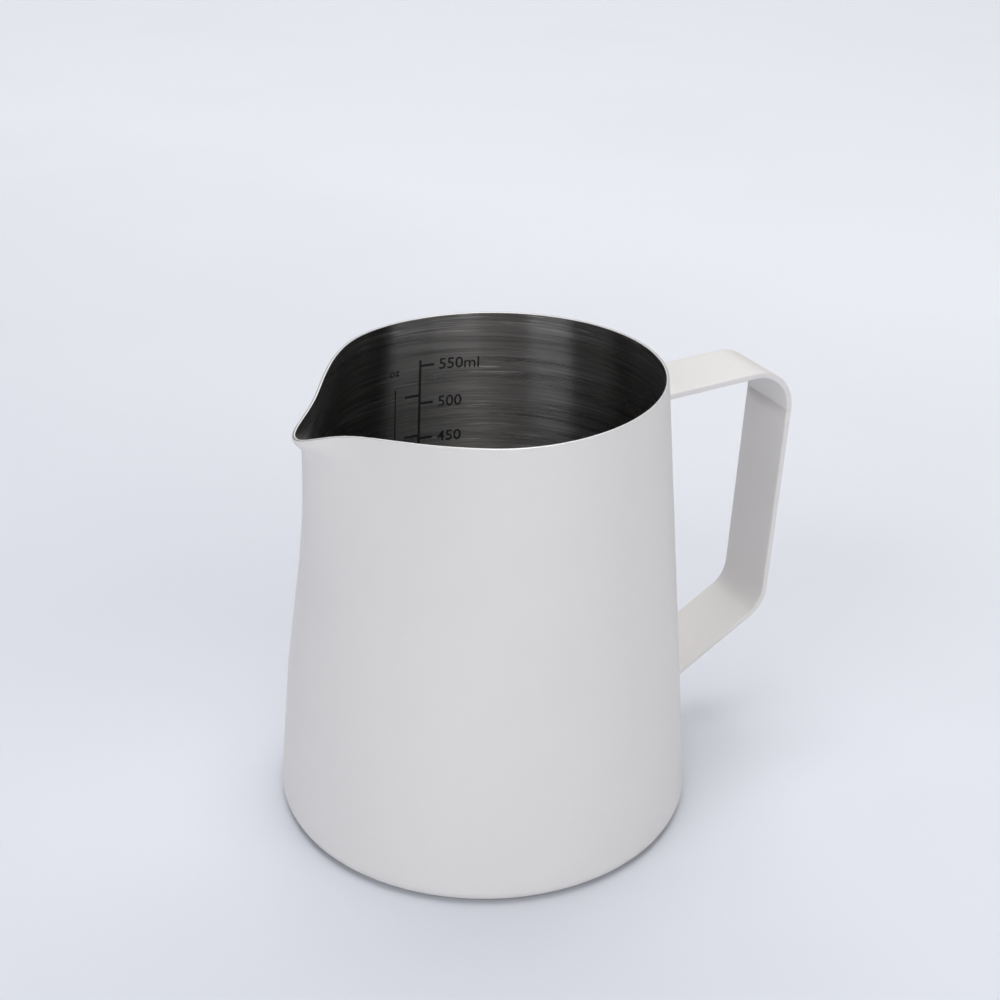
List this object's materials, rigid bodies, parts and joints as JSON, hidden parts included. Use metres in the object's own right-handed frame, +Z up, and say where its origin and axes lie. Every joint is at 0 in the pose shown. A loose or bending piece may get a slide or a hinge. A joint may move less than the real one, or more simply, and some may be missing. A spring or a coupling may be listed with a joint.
{
  "type": "milk frothing pitcher",
  "caption": "Conical steel milk pitcher with a V-shaped pouring spout, a bent flat-strip handle welded on opposite it, and a white powder coat outside.",
  "frame": {"origin": "where the cup's axis meets the surface it stands on", "axes": "+Z up along the cup's axis, +X towards the handle, -X towards the spout; the two sides are alike about the XZ plane"},
  "size_m": [0.1241, 0.098, 0.106],
  "materials": {
    "bare_steel": "satin",
    "white_powder_coat": "satin"
  },
  "bodies": {
    "root": {"pitcher_body": "bare_steel", "handle_strip": "bare_steel", "upper_weld": "bare_steel", "lower_weld": "bare_steel", "body_coating": "white_powder_coat", "handle_coating": "white_powder_coat"}
  },
  "joints": []
}
